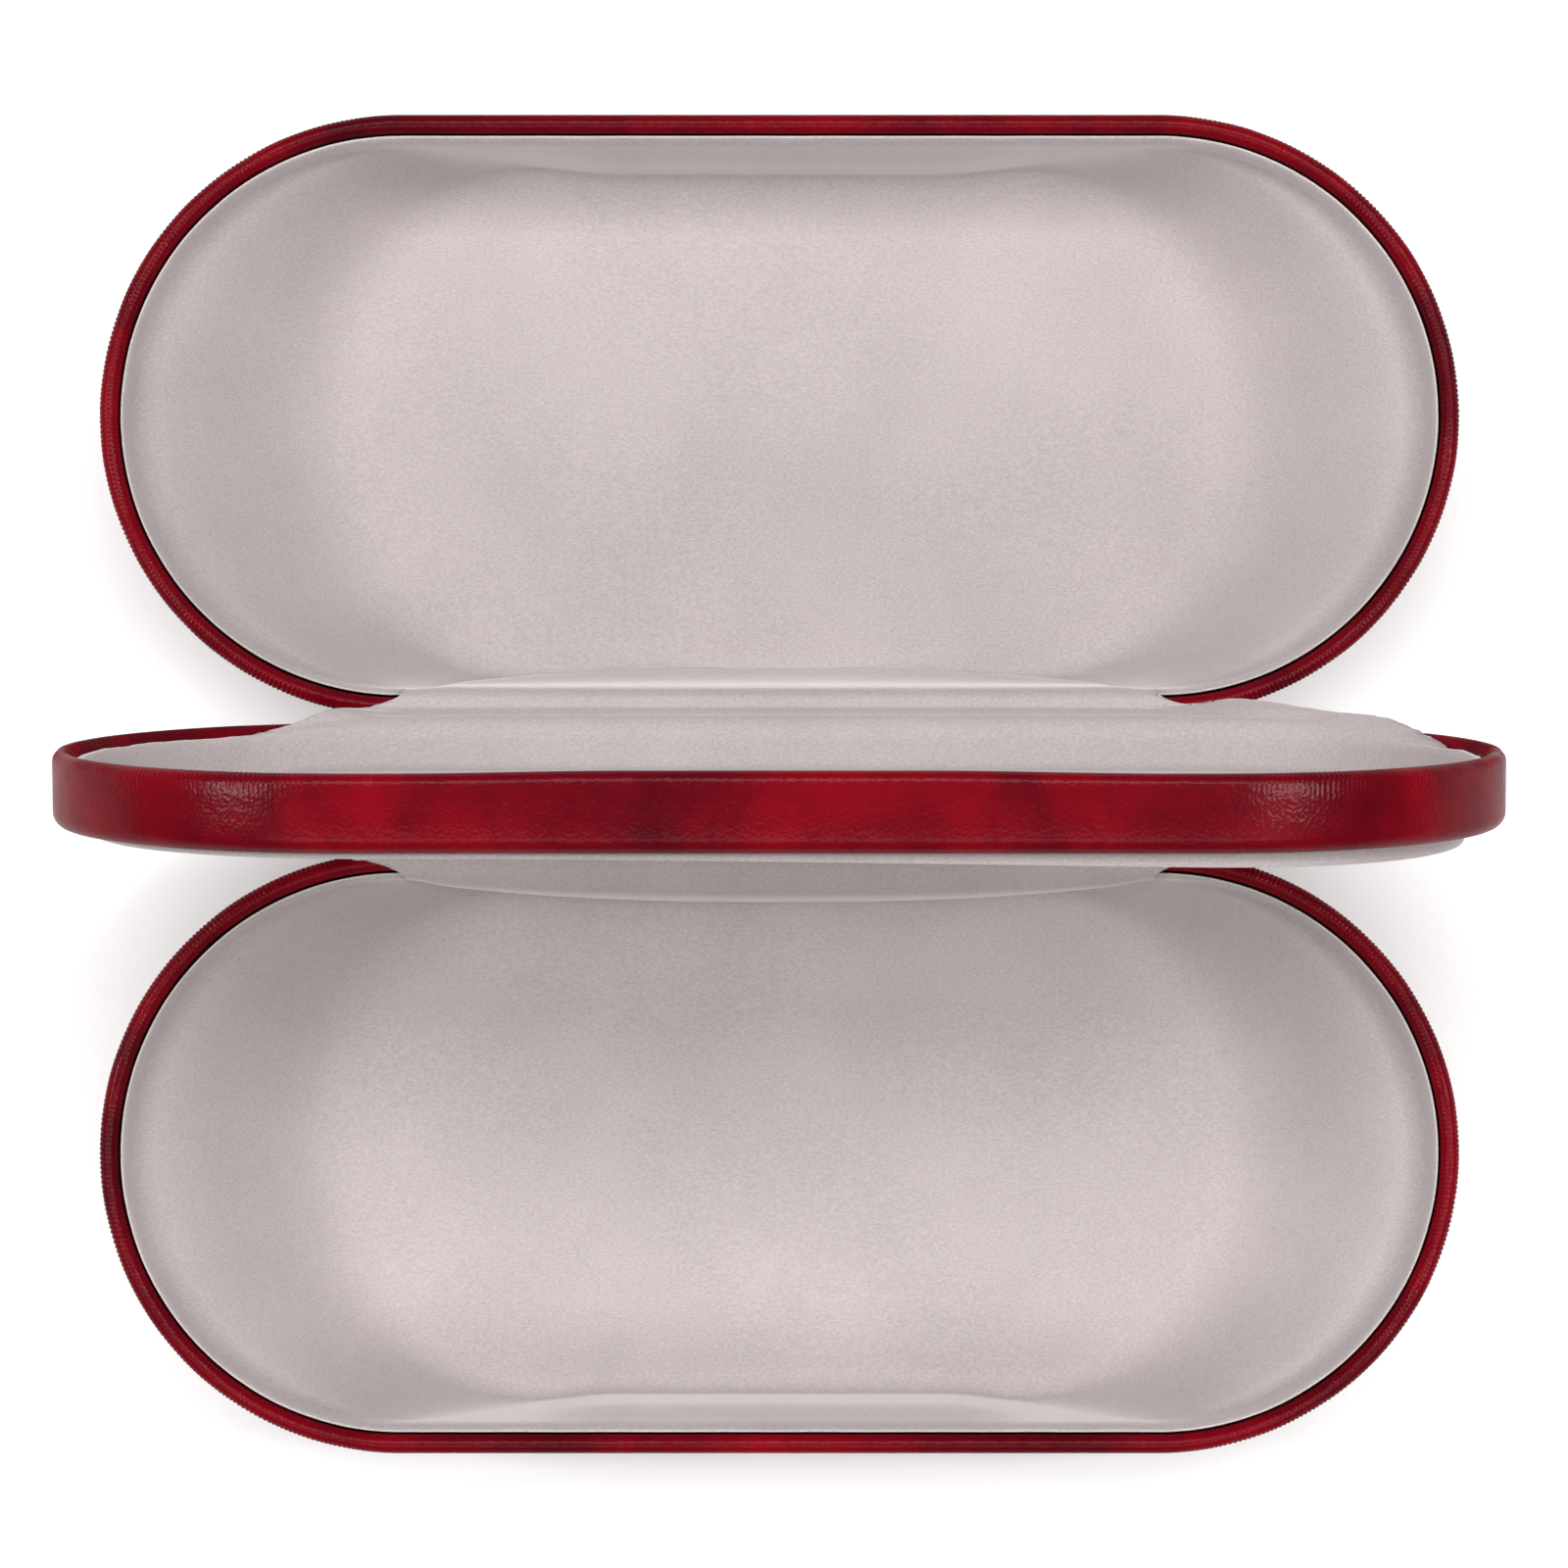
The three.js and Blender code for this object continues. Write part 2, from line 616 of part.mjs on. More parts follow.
// A group that turns what it holds about a pin along X.
function hinged(child, [y, z], angle) {
  const pivot = new THREE.Group();
  pivot.position.set(0, y, z);
  pivot.rotation.x = angle;
  child.position.set(child.position.x, child.position.y - y, child.position.z - z);
  pivot.add(child);
  return pivot;
}

function upperLid() {
  const [y, z] = UPPER_PIN_IN_LID;
  const path = [LID_TAB_START, [REAR - 2.2, 25], [y - 0.2, z - TAB_TO_PIN]];
  const flipped = lid("upper", [y, z], path);
  flipped.rotation.y = Math.PI;
  flipped.position.z = TRAY_DEPTH + RIM_GAP + LID_DEPTH;
  const group = new THREE.Group();
  group.add(flipped);
  return group;
}

function openCase() {
  const [y, z] = LOWER_PIN;
  const path = [LID_TAB_START, [REAR - 2.2, z - TAB_TO_PIN], [y, z - TAB_TO_PIN]];
  const lowerLid = lid("lower", [y, z], path);
  const trayGroup = tray();
  trayGroup.add(hinged(upperLid(), UPPER_PIN, -UPPER_OPENING));
  trayGroup.position.z = LID_DEPTH + RIM_GAP;
  lowerLid.add(hinged(trayGroup, LOWER_PIN, -LOWER_OPENING));
  lowerLid.position.y = -LID_CENTRE;
  const group = new THREE.Group();
  group.add(lowerLid, ...liningAprons(), ...spineStraps());
  return group;
}

export default openCase();
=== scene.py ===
import json
import math

import bpy
import numpy as np
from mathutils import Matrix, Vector


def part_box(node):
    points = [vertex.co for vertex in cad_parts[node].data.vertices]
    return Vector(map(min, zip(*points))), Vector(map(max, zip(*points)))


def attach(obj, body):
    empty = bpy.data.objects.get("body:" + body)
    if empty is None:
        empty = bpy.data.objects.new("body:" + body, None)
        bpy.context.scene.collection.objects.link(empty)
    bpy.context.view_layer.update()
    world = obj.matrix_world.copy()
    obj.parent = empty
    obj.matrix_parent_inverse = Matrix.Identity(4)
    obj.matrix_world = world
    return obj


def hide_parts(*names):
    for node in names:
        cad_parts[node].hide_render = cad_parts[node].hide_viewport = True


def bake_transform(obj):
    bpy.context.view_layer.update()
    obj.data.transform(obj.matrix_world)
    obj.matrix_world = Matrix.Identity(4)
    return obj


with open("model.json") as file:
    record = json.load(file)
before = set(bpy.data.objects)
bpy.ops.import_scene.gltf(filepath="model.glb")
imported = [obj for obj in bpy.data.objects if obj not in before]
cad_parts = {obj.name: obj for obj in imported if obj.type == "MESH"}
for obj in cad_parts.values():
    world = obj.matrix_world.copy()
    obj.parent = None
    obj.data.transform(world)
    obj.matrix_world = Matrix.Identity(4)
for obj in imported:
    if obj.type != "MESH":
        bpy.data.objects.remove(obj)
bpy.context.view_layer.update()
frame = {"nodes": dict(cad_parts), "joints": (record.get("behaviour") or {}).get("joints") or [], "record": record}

# Looks of a double spectacle case that lies open: leatherette covers with rolled and pleated rims,
# flocked cloth linings, and the cloth and leather that bridge its two hinges.
# Shapes are worked out in millimetres in the shared frame and turned into metres when a mesh is made.
MM = 0.001


def cad_box_mm(node):
    low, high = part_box(node)
    return np.array(low) / MM, np.array(high) / MM


# ---- Sizes that the frame gives ----
COVER_LOW, COVER_HIGH = cad_box_mm("lower_lid_cover")
LENGTH = COVER_HIGH[0] - COVER_LOW[0]
DEPTH = COVER_HIGH[2] - COVER_LOW[2]
UPPER_LOW, UPPER_HIGH = cad_box_mm("upper_lid_cover")
REAR_EDGE = UPPER_LOW[1]  # of the upper lid; the lower lid's is its mirror image
WIDTH = UPPER_HIGH[1] - UPPER_LOW[1]
JOINTS = {joint["name"]: joint for joint in frame["joints"]}
LEAN = math.radians(90 - JOINTS["lower_hinge"]["range_deg"][1])

# ---- Sizes that repeat the CAD model's ----
RADIUS = WIDTH / 2
TRAY_DEPTH = 8.8
TRAY_RISE = 2.0  # the tray's lower rear corner above the lids' rims
TRAY_TO_UPPER_LID = 0.7
LEATHER = 0.8
RIM_WIDTH = 2.3  # of the rolled rim
ROLL = RIM_WIDTH / 2
LINING_OUTER = 2.62  # depth of the lining's back inside the outer wall
LINING_INNER = 3.3
LINING_CORNER = 6.0  # rounding of the lining between its walls and its floor, plus its depth
END_RAMP = 0.9  # how much of the lining's end slope is this ramp instead of the shell's rounding
RAMP_BEND = 0.8  # how far the ramp bends: 0 is straight, 1 is level at its top and its foot
RAMP_MORE = 2.5  # how much longer than the shell's rounding the ramp is
DRAFT = 0.8
SIDE_ROUND = 9.0
END_ROUND_ALONG = 24.0
END_ROUND_UP = 22.0

# ---- Details of the leather and the cloth ----
FLAP_DROP = 3.0  # how far the turned-in leather reaches below the rim
FLAP_STEP = 0.2  # below it, where the cover's own inner face starts
UNDERFOLD = 4.2  # leather turned under the tray
BAND_ROUND = 1.8
PLEAT_PITCH = 0.58
LID_PLEATS = 0.24  # height of the pleats
TRAY_PLEATS = 0.2
COVER_DENT = 0.3  # how far the middle of a front wall is pressed in
LINING_DENT = 1.0
HINGE_HALF = 46.0  # half the width that the lining aprons cover
LID_DIP = 3.2  # how far a rim sinks under the cloth that passes over it
TRAY_DIP = 2.6
LINING_EDGE = 1.1  # the lid lining's cut edge below the rim
TRAY_LINING_EDGE = 1.2
LINING_BACK = LINING_OUTER + 0.2  # back of the lid lining below its edge
FLOOR_WAVES = 0.12  # unevenness of a lid lining's floor
RAGGED = 0.1  # unevenness of a cut edge
MIDDLE = 0.004  # share or radius of the tiny ring that closes a surface at its middle
TRAY_FLOOR = 2.6  # heights of the tray lining's two faces
TRAY_LINING_BACK = 1.95
TRAY_CORNER = 1.2
PLATE_INSET = 5.0
PLATE_FACE = -1.0  # through the tray's depth, as its two sides are stated
PLATE_BACK = -0.24
PLATE_CROWN = 0.12
PLATE_EDGE = 0.38  # rounding of the plate's edge
PLATE_LIFT = 1.1  # how far the cloth plate stands off at the tray's front right
CLOTH_THICK = 0.45
AT_WALL = LINING_INNER + 0.12  # a lid's lining surface plus what the cloth stands off it
STRAP_HALF = 44.0
STRAP_THICK = 0.55
FRAY = 0.12

CORNER_Y = REAR_EDGE - TRAY_TO_UPPER_LID - TRAY_DEPTH * math.cos(LEAN)
CORNER_Z = DEPTH + TRAY_RISE
LID_CENTRE = REAR_EDGE + RADIUS


# ---- Small maths ----
def smooth(edge0, edge1, x):
    t = np.clip((x - edge0) / (edge1 - edge0), 0, 1)
    return t * t * (3 - 2 * t)


def waves(x, seed, octaves=3, base=1.0):
    """A smooth pseudo-random curve of x, about -1 to 1, the same at each run."""
    rng = np.random.default_rng(seed)
    total = np.zeros_like(x, dtype=float)
    for octave in range(octaves):
        turns = base * 2**octave * rng.uniform(0.8, 1.25)
        total += np.sin(turns * x + rng.uniform(0, 2 * math.pi)) / 1.6**octave
    return total / 2


def spline(points, samples):
    """A Catmull-Rom curve through points, sampled evenly by its length."""
    points = np.array(points, float)
    ends = [2 * points[0] - points[1], *points, 2 * points[-1] - points[-2]]
    fine = []
    for p0, p1, p2, p3 in zip(ends, ends[1:], ends[2:], ends[3:]):
        for t in np.arange(24) / 24:
            fine.append(0.5 * (2 * p1 + (p2 - p0) * t + (2 * p0 - 5 * p1 + 4 * p2 - p3) * t**2
                               + (3 * p1 - p0 - 3 * p2 + p3) * t**3))
    fine = np.array([*fine, points[-1]])
    along = np.concatenate([[0], np.cumsum(np.linalg.norm(np.diff(fine, axis=0), axis=1))])
    at = np.linspace(0, along[-1], samples)
    return np.stack([np.interp(at, along, fine[:, i]) for i in range(fine.shape[1])], axis=1)


# ---- Meshes ----
NO_ROW = -1


def make_object(name, points, faces, materials, indices=None):
    mesh = bpy.data.meshes.new(name)
    mesh.from_pydata((np.asarray(points) * MM).tolist(), [], faces)
    for each in materials:
        mesh.materials.append(each)
    mesh.polygons.foreach_set("use_smooth", np.ones(len(mesh.polygons), dtype=bool))
    if indices is not None:
        mesh.polygons.foreach_set("material_index", np.asarray(indices, dtype=np.int32))
    mesh.update()
    made = bpy.data.objects.new(name, mesh)
    bpy.context.scene.collection.objects.link(made)
    return made


def grid_faces(rows, columns, closed_rows=False, closed_columns=True):
    """Quads between the rows of a grid of points, and their row numbers."""
    faces = []
    owners = []
    for row in range(rows if closed_rows else rows - 1):
        above = (row + 1) % rows
        for column in range(columns if closed_columns else columns - 1):
            beside = (column + 1) % columns
            faces.append((row * columns + column, above * columns + column,
                          above * columns + beside, row * columns + beside))
            owners.append(row)
    return faces, owners


def capped_faces(rows, columns):
    """The quads of a grid that is closed round its columns, and a cap on its first and last rows."""
    faces, owners = grid_faces(rows, columns)
    last = (rows - 1) * columns
    faces += [tuple(range(columns)), tuple(range(last + columns - 1, last - 1, -1))]
    return faces, [*owners, NO_ROW, NO_ROW]


class Plan:
    """The columns of points round the case's long round-ended plan, clockwise from the rear left."""

    def __init__(self, straight, arc):
        along = np.arange(straight) / straight
        turn = np.arange(arc) / arc
        self.along = np.concatenate([2 * along - 1, np.ones(arc), 1 - 2 * along, -np.ones(arc)])
        half = math.pi / 2
        self.angle = np.concatenate([
            np.full(straight, half), half - math.pi * turn,
            np.full(straight, -half), -half - math.pi * turn,
        ])
        self.on_arc = np.abs(np.abs(np.sin(self.angle)) - 1) > 1e-9
        self.count = len(self.angle)

    def ring(self, radius, half_straight, z):
        x = self.along * half_straight + radius * np.cos(self.angle)
        y = radius * np.sin(self.angle)
        return np.stack([x, y, np.full(self.count, float(z))], axis=1)

    def outward(self):
        return np.stack([np.cos(self.angle), np.sin(self.angle), np.zeros(self.count)], axis=1)


HALF_STRAIGHT = LENGTH / 2 - RADIUS


def rounding(height, along, up):
    return np.where(height < up, along * (1 - np.sqrt(np.clip(1 - ((up - height) / up) ** 2, 0, 1))), 0)


def ramp_inset(share):
    """How far in from the wall, as a share of its length, the ramp is at a share of its height."""
    inward = np.linspace(1, 0, 60)
    climb = 1 - inward
    climb += RAMP_BEND * (3 * climb**2 - 2 * climb**3 - climb)
    return float(np.interp(share, climb, inward))


def lid_level(inside, z, corner=SIDE_ROUND, ramp=0.0):
    """Radius, half straight and height of a lid surface at a depth inside the outer wall.

    With ramp the ends are mostly gently bent ramps instead of round.
    """
    height = max(z - inside, 0)
    lean = DRAFT * (DEPTH - z) / DEPTH
    side = inside + lean + float(rounding(height, corner - inside, corner - inside))
    along, up = END_ROUND_ALONG - inside, END_ROUND_UP - inside
    slope = (along + RAMP_MORE) * ramp_inset(height / up)
    end = inside + lean + (1 - ramp) * float(rounding(height, along, up)) + ramp * slope
    radius = RADIUS - side
    return radius, LENGTH / 2 - end - radius, z


def lid_walls(inside, steps, corner=SIDE_ROUND, ramp=0.0):
    """Levels from a lid surface's floor up to where its wall is straight."""
    reach = END_ROUND_UP - inside
    angles = np.linspace(math.pi / 2, 0, steps)
    return [lid_level(inside, inside + reach * (1 - math.sin(a)), corner, ramp) for a in angles]


def floor_rings(level, shares):
    """Rings that fill a floor from its middle line out to a level."""
    radius, half, z = level
    return [(radius * share, half, z) for share in shares]


def roll_levels(height, inside_bottom, steps=9):
    """The rolled rim: over the top from the outer wall, then down its inner side."""
    levels = []
    for angle in np.linspace(0, math.pi, steps):
        inset = ROLL - ROLL * math.cos(angle)
        levels.append((RADIUS - inset, HALF_STRAIGHT, height - ROLL + ROLL * math.sin(angle)))
    levels.append((RADIUS - RIM_WIDTH, HALF_STRAIGHT, inside_bottom))
    return levels


def stack(plan, levels):
    return np.stack([plan.ring(*level) for level in levels])


def pleat(plan, points, rows, amount, seed):
    """Fine radial pleats where the leather is gathered round the ends, on the given rows."""
    arc_length = np.unwrap(plan.angle) * RADIUS
    strength = 0.55 + 0.45 * waves(arc_length, seed, 3, 0.22)
    phase = 2 * math.pi * arc_length / PLEAT_PITCH + 1.6 * waves(arc_length, seed + 1, 3, 0.5)
    ridge = (0.5 + 0.5 * np.cos(phase)) * strength
    taper = smooth(0.0, 0.25, np.abs(np.cos(plan.angle))) * plan.on_arc
    outward = plan.outward()
    for row, (radial, upward) in rows.items():
        drop = amount * ridge * taper
        points[row] -= outward * (radial * drop)[:, None]
        points[row][:, 2] -= upward * drop


# ---- Places ----
def place_lower_lid(points):
    moved = np.array(points, float)
    moved[..., 1] -= LID_CENTRE
    return moved


def place_upper_lid(points):
    moved = np.array(points, float)
    moved[..., 0] *= -1
    moved[..., 1] = LID_CENTRE - moved[..., 1]
    return moved


def place_tray(points):
    """From the tray lying flat with its rear at +y to the tray as it stands."""
    up = RADIUS - points[..., 1]
    through = points[..., 2]
    y = CORNER_Y + through * math.cos(LEAN) - up * math.sin(LEAN)
    z = CORNER_Z + through * math.sin(LEAN) + up * math.cos(LEAN)
    return np.stack([points[..., 0], y, z], axis=-1)


def tray_point(up, through):
    """y and z of a tray point: up from its rear edge, and through its depth from its underside."""
    return tuple(place_tray(np.array([0.0, RADIUS - up, through]))[1:])


# ---- Materials ----
def new_material(name):
    made = bpy.data.materials.new(name)
    made.use_nodes = True
    nodes = made.node_tree.nodes
    return made, nodes, made.node_tree.links, nodes["Principled BSDF"]


def add_node(nodes, kind, **values):
    made = nodes.new(kind)
    for key, value in values.items():
        if key in made.inputs:
            made.inputs[key].default_value = value
        else:
            setattr(made, key, value)
    return made


def noise(nodes, links, coordinates, scale, detail=3.0, distortion=0.0):
    made = add_node(nodes, "ShaderNodeTexNoise", Scale=scale, Detail=detail, Distortion=distortion)
    links.new(coordinates, made.inputs["Vector"])
    return made.outputs["Fac"]


def colour_ramp(nodes, links, value, stops):
    made = nodes.new("ShaderNodeValToRGB")
    elements = made.color_ramp.elements
    while len(elements) < len(stops):
        elements.new(0.5)
    for element, (position, colour) in zip(elements, stops):
        element.position = position
        element.color = (*colour, 1)
    links.new(value, made.inputs["Fac"])
    return made.outputs["Color"]


def maths(nodes, links, operation, a, b):
    made = nodes.new("ShaderNodeMath")
    made.operation = operation
    for socket, value in zip(made.inputs, (a, b)):
        if hasattr(value, "is_linked"):
            links.new(value, socket)
        else:
            socket.default_value = value
    return made.outputs[0]


def bump(nodes, links, height, distance, strength, onto):
    made = add_node(nodes, "ShaderNodeBump", Strength=strength, Distance=distance)
    links.new(height, made.inputs["Height"])
    links.new(made.outputs["Normal"], onto)
    return made


def object_coordinates(nodes):
    return nodes.new("ShaderNodeTexCoord").outputs["Object"]


def leatherette_material():
    made, nodes, links, shader = new_material("marbled_leatherette")
    where = object_coordinates(nodes)
    clouds = noise(nodes, links, where, 38, 4, 0.9)
    wisps = noise(nodes, links, where, 170, 5, 0.6)
    both = maths(nodes, links, "ADD", maths(nodes, links, "MULTIPLY", clouds, 0.74),
                 maths(nodes, links, "MULTIPLY", wisps, 0.26))
    colour = colour_ramp(nodes, links, both, [
        (0.34, (0.055, 0.0002, 0.0030)), (0.45, (0.092, 0.0003, 0.0038)),
        (0.55, (0.135, 0.0004, 0.0045)), (0.68, (0.175, 0.0006, 0.0060)),
    ])
    links.new(colour, shader.inputs["Base Color"])
    rough = noise(nodes, links, where, 420, 3)
    links.new(maths(nodes, links, "ADD", maths(nodes, links, "MULTIPLY", rough, 0.18), 0.25),
              shader.inputs["Roughness"])
    shader.inputs["IOR"].default_value = 1.04
    shader.inputs["Coat Weight"].default_value = 0.15
    shader.inputs["Coat Roughness"].default_value = 0.21
    cells = add_node(nodes, "ShaderNodeTexVoronoi", Scale=2700.0)
    cells.feature = "SMOOTH_F1"
    links.new(where, cells.inputs["Vector"])
    grain = maths(nodes, links, "ADD", cells.outputs["Distance"],
                  maths(nodes, links, "MULTIPLY", noise(nodes, links, where, 1100, 4), 1.1))
    bumped = bump(nodes, links, grain, 0.00007, 0.5, shader.inputs["Normal"])
    links.new(bumped.outputs["Normal"], shader.inputs["Coat Normal"])
    return made


def flock_material(name, base, spread=0.05):
    made, nodes, links, shader = new_material(name)
    where = object_coordinates(nodes)
    stretch = add_node(nodes, "ShaderNodeMapping")
    stretch.inputs["Scale"].default_value = (0.55, 1.0, 1.0)
    links.new(where, stretch.inputs["Vector"])
    fibres = noise(nodes, links, stretch.outputs[0], 4200, 3)
    mottle = noise(nodes, links, where, 55, 3)
    both = maths(nodes, links, "ADD", maths(nodes, links, "MULTIPLY", fibres, 0.7),
                 maths(nodes, links, "MULTIPLY", mottle, 0.3))
    dark = tuple(channel * (1 - 2.2 * spread) for channel in base)
    light = tuple(channel * (1 + 2.2 * spread) for channel in base)
    colour = colour_ramp(nodes, links, both, [(0.3, dark), (0.7, light)])
    links.new(colour, shader.inputs["Base Color"])
    shader.inputs["Roughness"].default_value = 0.95
    shader.inputs["Specular IOR Level"].default_value = 0.15
    shader.inputs["Sheen Weight"].default_value = 0.6
    shader.inputs["Sheen Roughness"].default_value = 0.35
    shader.inputs["Sheen Tint"].default_value = (0.95, 0.93, 0.92, 1)
    bump(nodes, links, fibres, 0.00012, 0.5, shader.inputs["Normal"])
    return made


def steel_material(name, base, rough):
    made, nodes, links, shader = new_material(name)
    where = object_coordinates(nodes)
    stretch = add_node(nodes, "ShaderNodeMapping")
    stretch.inputs["Scale"].default_value = (0.08, 1.0, 1.0)
    links.new(where, stretch.inputs["Vector"])
    lines = noise(nodes, links, stretch.outputs[0], 4200, 3)
    dark = tuple(channel * 0.8 for channel in base)
    colour = colour_ramp(nodes, links, lines, [(0.3, dark), (0.7, base)])
    links.new(colour, shader.inputs["Base Color"])
    shader.inputs["Metallic"].default_value = 1.0
    links.new(maths(nodes, links, "ADD", maths(nodes, links, "MULTIPLY", lines, 0.2), rough),
              shader.inputs["Roughness"])
    bump(nodes, links, lines, 0.00004, 0.3, shader.inputs["Normal"])
    return made


def fibre_material(name, base, scale):
    made, nodes, links, shader = new_material(name)
    where = object_coordinates(nodes)
    specks = noise(nodes, links, where, scale, 5)
    dark = tuple(channel * 0.7 for channel in base)
    colour = colour_ramp(nodes, links, specks, [(0.35, dark), (0.65, base)])
    links.new(colour, shader.inputs["Base Color"])
    shader.inputs["Roughness"].default_value = 0.9
    bump(nodes, links, specks, 0.0001, 0.4, shader.inputs["Normal"])
    return made


LEATHERETTE = leatherette_material()
FLOCK = flock_material("flocked_cloth", (0.397, 0.354, 0.351), 0.07)
CUT_EDGE = flock_material("cut_cloth_edge", (0.45, 0.41, 0.40), 0.1)
SHELL_STEEL = steel_material("stamped_steel", (0.45, 0.45, 0.46), 0.4)
HINGE_STEEL = steel_material("plated_steel", (0.62, 0.62, 0.64), 0.22)
FOAM = fibre_material("foam_interlining", (0.20, 0.19, 0.18), 1800)
BOARD = fibre_material("grey_board", (0.35, 0.28, 0.20), 1400)

CAD_MATERIALS = {"shell_steel": SHELL_STEEL, "hinge_steel": HINGE_STEEL, "foam": FOAM, "board": BOARD}


def dress_cad_nodes():
    """Better materials for the CAD nodes that stay."""
    for row in frame["record"]["subparts"]:
        better = CAD_MATERIALS.get(row["material_slot"])
        if better is not None:
            node = frame["nodes"][row["node"]]
            for place in node.material_slots:
                place.material = better


# ---- Leatherette covers ----
COVER_PLAN = Plan(56, 800)


def hinge_dip(points, top, amount, reach):
    """Lowers the rear rim under the cloth that passes over it."""
    inner = smooth(HINGE_HALF + 0.5, HINGE_HALF - 3.5, np.abs(points[..., 0])) * (points[..., 1] > 0)
    share = np.clip((points[..., 2] - (top - reach)) / reach, 0, 1)
    points[..., 2] -= amount * inner * share


def thumb_dent(points, amount):
    """The front wall is pressed in a little at its middle, below the rim."""
    side = smooth(33, 20, np.abs(points[..., 0])) * smooth(-8, -28, points[..., 1])
    points[..., 1] += amount * side * smooth(DEPTH - 2, DEPTH / 2, points[..., 2])


def lid_cover_points(seed):
    floor = lid_level(0, 0)
    outer = [*floor_rings(floor, (MIDDLE, 0.35, 0.8)), *lid_walls(0, 13), lid_level(0, DEPTH - ROLL - 1)]
    rim = roll_levels(DEPTH, DEPTH - FLAP_DROP)
    inner = [lid_level(LEATHER, DEPTH - FLAP_DROP - FLAP_STEP), *lid_walls(LEATHER, 6)[::-1]]
    inner += floor_rings(lid_level(LEATHER, LEATHER), (0.5, MIDDLE))
    points = stack(COVER_PLAN, [*outer, *rim, *inner])
    first = len(outer)
    shoulders = {first - 1: (0.3, 0), first: (0.8, 0), first + 1: (1, 0.3), first + 2: (0.9, 0.8),
                 first + 3: (0.4, 0.5), first + 4: (0, 0.35), first + 5: (-0.4, 0.5),
                 first + 6: (-0.9, 0.8), first + 7: (-1, 0.3), first + 8: (-0.6, 0)}
    pleat(COVER_PLAN, points, shoulders, LID_PLEATS, seed)
    thumb_dent(points, COVER_DENT)
    hinge_dip(points, DEPTH, LID_DIP, 9)
    return points


def make_lid_cover(side, place, seed):
    points = place(lid_cover_points(seed))
    faces, _ = capped_faces(len(points), COVER_PLAN.count)
    made = make_object(f"{side}_leather_cover", points.reshape(-1, 3), faces, [LEATHERETTE])
    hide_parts(f"{side}_lid_cover")
    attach(made, f"{side}_lid")
    return made


def make_tray_cover():
    levels = [(RADIUS - UNDERFOLD, HALF_STRAIGHT, LEATHER), (RADIUS - UNDERFOLD, HALF_STRAIGHT, 0.15),
              (RADIUS - UNDERFOLD + 0.15, HALF_STRAIGHT, 0)]
    for angle in np.linspace(math.pi / 2, 0, 7):
        levels.append((RADIUS - BAND_ROUND + BAND_ROUND * math.cos(angle), HALF_STRAIGHT,
                       BAND_ROUND - BAND_ROUND * math.sin(angle)))
    first = len(levels) + 2
    levels += [(RADIUS, HALF_STRAIGHT, 3.6), (RADIUS, HALF_STRAIGHT, 5.6)]
    levels += roll_levels(TRAY_DEPTH, TRAY_DEPTH - FLAP_DROP)
    levels += [(RADIUS - LEATHER, HALF_STRAIGHT, TRAY_DEPTH - FLAP_DROP - FLAP_STEP),
               (RADIUS - LEATHER, HALF_STRAIGHT, BAND_ROUND + LEATHER),
               (RADIUS - LEATHER - 1, HALF_STRAIGHT, LEATHER)]
    points = stack(COVER_PLAN, levels)
    shoulders = {first: (0.2, 0), first + 1: (0.5, 0.15), first + 2: (0.6, 0.5), first + 3: (0.3, 0.3),
                 first + 4: (0, 0.3), first + 5: (-0.4, 0.5), first + 6: (-0.9, 0.8), first + 7: (-1, 0.3)}
    pleat(COVER_PLAN, points, shoulders, TRAY_PLEATS, 31)
    x, y, z = points[..., 0], points[..., 1], points[..., 2]
    upper = np.clip((z - 3) / (TRAY_DEPTH - 3), 0, 1) * (y < 0)
    points[..., 2] += upper * (0.32 * smooth(42, 16, np.abs(x)) - 0.14)
    hinge_dip(points, TRAY_DEPTH, TRAY_DIP, 4)
    ripple = 0.05 * waves(x, 5, 3, 0.16) * np.sin(np.pi * np.clip(z / TRAY_DEPTH, 0, 1))
    points[..., 1] += ripple * (np.abs(y) > RADIUS - 1)
    faces, _ = grid_faces(len(points), COVER_PLAN.count, closed_rows=True)
    made = make_object("tray_leather_band", place_tray(points).reshape(-1, 3), faces, [LEATHERETTE])
    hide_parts("tray_cover")
    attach(made, "tray")
    return made


# ---- Cloth linings ----
LINING_PLAN = Plan(120, 150)


def ragged(points, rows, seed):
    """A slightly uneven cut edge."""
    along = np.cumsum(np.full(points.shape[1], 0.9))
    for row in rows:
        points[row][:, 2] += RAGGED * waves(along, seed, 5, 0.35)


